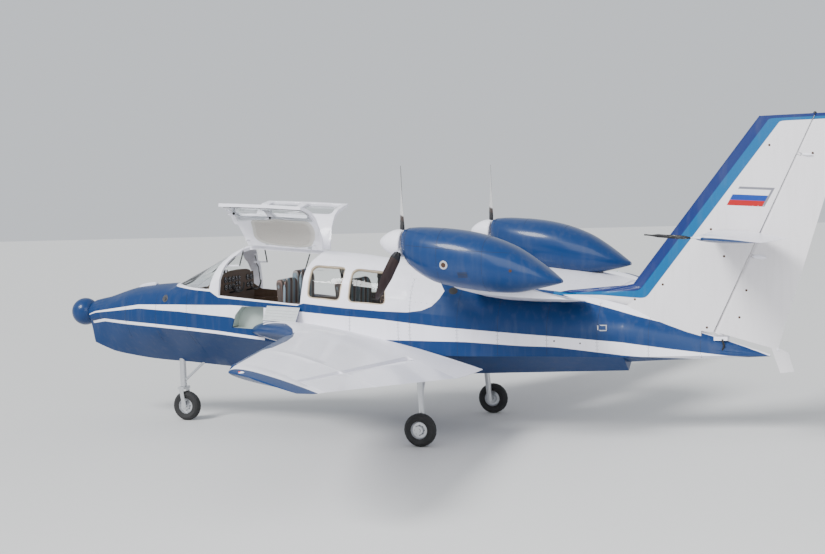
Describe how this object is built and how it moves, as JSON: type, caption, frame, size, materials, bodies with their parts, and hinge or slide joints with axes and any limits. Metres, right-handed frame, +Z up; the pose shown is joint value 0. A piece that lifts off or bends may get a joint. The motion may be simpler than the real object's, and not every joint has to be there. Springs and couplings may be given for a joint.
{
  "type": "flying boat",
  "caption": "Twin-engined amphibious flying boat with gull-wing cabin doors raised, low wing, all-moving tailplane and wheels down.",
  "frame": {"origin": "on the ground under the wheels, halfway between the nose bumper's tip and the rudder's trailing edge, on the hull's centre plane", "axes": "+X towards the bow, +Y to port, +Z up; the hull keeps its floating attitude, about 5 degrees nose up"},
  "size_m": [10.65, 12.72, 3.757],
  "materials": {
    "hull_blue": "royal blue gloss paint, weathered",
    "hull_white": "white gloss paint, lightly soiled",
    "panel_brown": "dark brown matt",
    "seat_cloth": "striped blue-grey cloth",
    "clear_glass": "clear acrylic, faint tint",
    "bare_metal": "satin steel",
    "engine_block": "cast, dull",
    "dark_metal": "black enamel",
    "blade_brown": "matt brown-black",
    "tyre_rubber": "matt black rubber"
  },
  "bodies": {
    "root": {"bow_hull": "hull_blue", "nose_bumper": "hull_blue", "deck_fairing": "hull_white", "mooring_bollard_port": "dark_metal", "mooring_bollard_starboard": "dark_metal", "cabin_tub": "hull_blue", "side_glass_port": "clear_glass", "side_glass_starboard": "clear_glass", "windscreen": "clear_glass", "cabin_shell": "hull_white", "windscreen_arch": "hull_white", "front_seat_port": "seat_cloth", "front_seat_starboard": "seat_cloth", "middle_seat_port": "seat_cloth", "middle_seat_starboard": "seat_cloth", "rear_bench": "seat_cloth", "instrument_panel": "panel_brown", "aft_hull": "hull_blue", "wing_port": "hull_white", "wing_starboard": "hull_white", "slat_port": "hull_white", "slat_starboard": "hull_white", "fin": "hull_white", "nacelle_port": "hull_blue", "nacelle_starboard": "hull_blue", "engine_port": "engine_block", "engine_starboard": "engine_block", "pylon_port": "hull_white", "pylon_starboard": "hull_white", "nose_leg": "bare_metal", "main_leg_port": "bare_metal", "main_leg_starboard": "bare_metal", "locker_lid": "hull_blue"},
    "front_strut_cylinder_port": {"front_strut_cylinder_port": "dark_metal"},
    "front_strut_cylinder_starboard": {"front_strut_cylinder_starboard": "dark_metal"},
    "front_strut_rod_port": {"front_strut_rod_port": "bare_metal"},
    "front_strut_rod_starboard": {"front_strut_rod_starboard": "bare_metal"},
    "rear_strut_cylinder_port": {"rear_strut_cylinder_port": "dark_metal"},
    "rear_strut_cylinder_starboard": {"rear_strut_cylinder_starboard": "dark_metal"},
    "rear_strut_rod_port": {"rear_strut_rod_port": "bare_metal"},
    "rear_strut_rod_starboard": {"rear_strut_rod_starboard": "bare_metal"},
    "door_port": {"cabin_door_port": "hull_white", "door_glass_port": "clear_glass"},
    "door_starboard": {"cabin_door_starboard": "hull_white", "door_glass_starboard": "clear_glass"},
    "flap_port": {"flap_port": "hull_white"},
    "flap_starboard": {"flap_starboard": "hull_white"},
    "aileron_port": {"aileron_port": "hull_white"},
    "aileron_starboard": {"aileron_starboard": "hull_white"},
    "rudder": {"rudder": "hull_white"},
    "tailplane": {"tailplane": "hull_white"},
    "propeller_port": {"propeller_port": "blade_brown"},
    "propeller_starboard": {"propeller_starboard": "blade_brown"},
    "nose_wheel": {"nose_tyre": "tyre_rubber", "nose_rim": "bare_metal"},
    "main_wheel_port": {"main_tyre_port": "tyre_rubber", "main_rim_port": "bare_metal"},
    "main_wheel_starboard": {"main_tyre_starboard": "tyre_rubber", "main_rim_starboard": "bare_metal"},
    "nose_fork": {"nose_fork": "bare_metal"}
  },
  "joints": [
    {"name": "front_strut_pivot_port", "type": "hinge", "parent": "root", "child": "front_strut_cylinder_port", "pos_m": [2.413, 0.38, 2.138], "axis": [0.9964, 0, 0.0851], "range_deg": [0, 44.46]},
    {"name": "front_strut_pivot_starboard", "type": "hinge", "parent": "root", "child": "front_strut_cylinder_starboard", "pos_m": [2.413, -0.38, 2.138], "axis": [-0.9964, 0, -0.0851], "range_deg": [0, 44.46]},
    {"name": "front_strut_slide_port", "type": "slide", "parent": "front_strut_cylinder_port", "child": "front_strut_rod_port", "axis": [-0.0776, -0.4101, 0.9087], "range_m": [-0.09907, 0]},
    {"name": "front_strut_slide_starboard", "type": "slide", "parent": "front_strut_cylinder_starboard", "child": "front_strut_rod_starboard", "axis": [-0.0776, 0.4101, 0.9087], "range_m": [-0.09907, 0]},
    {"name": "rear_strut_pivot_port", "type": "hinge", "parent": "root", "child": "rear_strut_cylinder_port", "pos_m": [1.445, 0.38, 2.09], "axis": [0.9964, 0, 0.0851], "range_deg": [0, 39.51]},
    {"name": "rear_strut_pivot_starboard", "type": "hinge", "parent": "root", "child": "rear_strut_cylinder_starboard", "pos_m": [1.445, -0.38, 2.09], "axis": [-0.9964, 0, -0.0851], "range_deg": [0, 39.51]},
    {"name": "rear_strut_slide_port", "type": "slide", "parent": "rear_strut_cylinder_port", "child": "rear_strut_rod_port", "axis": [-0.0731, -0.5122, 0.8557], "range_m": [-0.08263, 0]},
    {"name": "rear_strut_slide_starboard", "type": "slide", "parent": "rear_strut_cylinder_starboard", "child": "rear_strut_rod_starboard", "axis": [-0.0731, 0.5122, 0.8557], "range_m": [-0.08263, 0]},
    {"name": "door_hinge_port", "type": "hinge", "parent": "root", "child": "door_port", "pos_m": [1.365, 0.075, 2.30415], "axis": [0.9964, 0, 0.0851], "range_deg": [-92, 0]},
    {"name": "door_hinge_starboard", "type": "hinge", "parent": "root", "child": "door_starboard", "pos_m": [1.365, -0.075, 2.30415], "axis": [-0.9964, 0, -0.0851], "range_deg": [-92, 0]},
    {"name": "flap_hinge_port", "type": "hinge", "parent": "root", "child": "flap_port", "pos_m": [-0.61328, 1.8, 1.037], "axis": [-0.1628, 0.9828, 0.0869], "range_deg": [-30, 0]},
    {"name": "flap_hinge_starboard", "type": "hinge", "parent": "root", "child": "flap_starboard", "pos_m": [-0.61328, -1.8, 1.037], "axis": [0.1628, 0.9828, -0.0869], "range_deg": [-30, 0]},
    {"name": "aileron_hinge_port", "type": "hinge", "parent": "root", "child": "aileron_port", "pos_m": [-1.08377, 4.64, 1.288], "axis": [-0.1623, 0.983, 0.0862], "range_deg": [-18, 18]},
    {"name": "aileron_hinge_starboard", "type": "hinge", "parent": "root", "child": "aileron_starboard", "pos_m": [-1.08377, -4.64, 1.288], "axis": [0.1623, 0.983, -0.0862], "range_deg": [-18, 18]},
    {"name": "rudder_hinge", "type": "hinge", "parent": "root", "child": "rudder", "pos_m": [-3.76972, 0, 1.22], "axis": [-0.4268, 0, 0.9043], "range_deg": [-25, 25]},
    {"name": "tailplane_pivot", "type": "hinge", "parent": "root", "child": "tailplane", "pos_m": [-4.015, 0, 2.385], "axis": [0, 1, 0], "range_deg": [-10, 10]},
    {"name": "propeller_spin_port", "type": "hinge", "parent": "root", "child": "propeller_port", "pos_m": [-0.42, 1.53, 2.437], "axis": [0.996, 0, 0.0896], "continuous": true},
    {"name": "propeller_spin_starboard", "type": "hinge", "parent": "root", "child": "propeller_starboard", "pos_m": [-0.42, -1.53, 2.437], "axis": [-0.996, 0, -0.0896], "continuous": true},
    {"name": "nose_steering", "type": "hinge", "parent": "root", "child": "nose_fork", "pos_m": [3.585, 0, 0.2], "axis": [0, 0, 1], "range_deg": [-30, 30]},
    {"name": "nose_wheel_spin", "type": "hinge", "parent": "nose_fork", "child": "nose_wheel", "pos_m": [3.545, 0, 0.2], "axis": [0, 1, 0], "continuous": true},
    {"name": "main_wheel_spin_port", "type": "hinge", "parent": "root", "child": "main_wheel_port", "pos_m": [-0.455, 1.29, 0.2], "axis": [0, 1, 0], "continuous": true},
    {"name": "main_wheel_spin_starboard", "type": "hinge", "parent": "root", "child": "main_wheel_starboard", "pos_m": [-0.455, -1.29, 0.2], "axis": [0, 1, 0], "continuous": true}
  ],
  "couplings": [
    {"joint": "front_strut_pivot_port", "follows": "door_hinge_port", "ratio": -0.48328},
    {"joint": "front_strut_slide_port", "follows": "door_hinge_port", "m_per_rad": 0.061698},
    {"joint": "rear_strut_pivot_port", "follows": "door_hinge_port", "ratio": -0.42949},
    {"joint": "rear_strut_slide_port", "follows": "door_hinge_port", "m_per_rad": 0.051459},
    {"joint": "front_strut_pivot_starboard", "follows": "door_hinge_starboard", "ratio": -0.48328},
    {"joint": "front_strut_slide_starboard", "follows": "door_hinge_starboard", "m_per_rad": 0.061698},
    {"joint": "rear_strut_pivot_starboard", "follows": "door_hinge_starboard", "ratio": -0.42949},
    {"joint": "rear_strut_slide_starboard", "follows": "door_hinge_starboard", "m_per_rad": 0.051459},
    {"joint": "flap_hinge_starboard", "follows": "flap_hinge_port", "ratio": 1},
    {"joint": "aileron_hinge_starboard", "follows": "aileron_hinge_port", "ratio": -1}
  ]
}
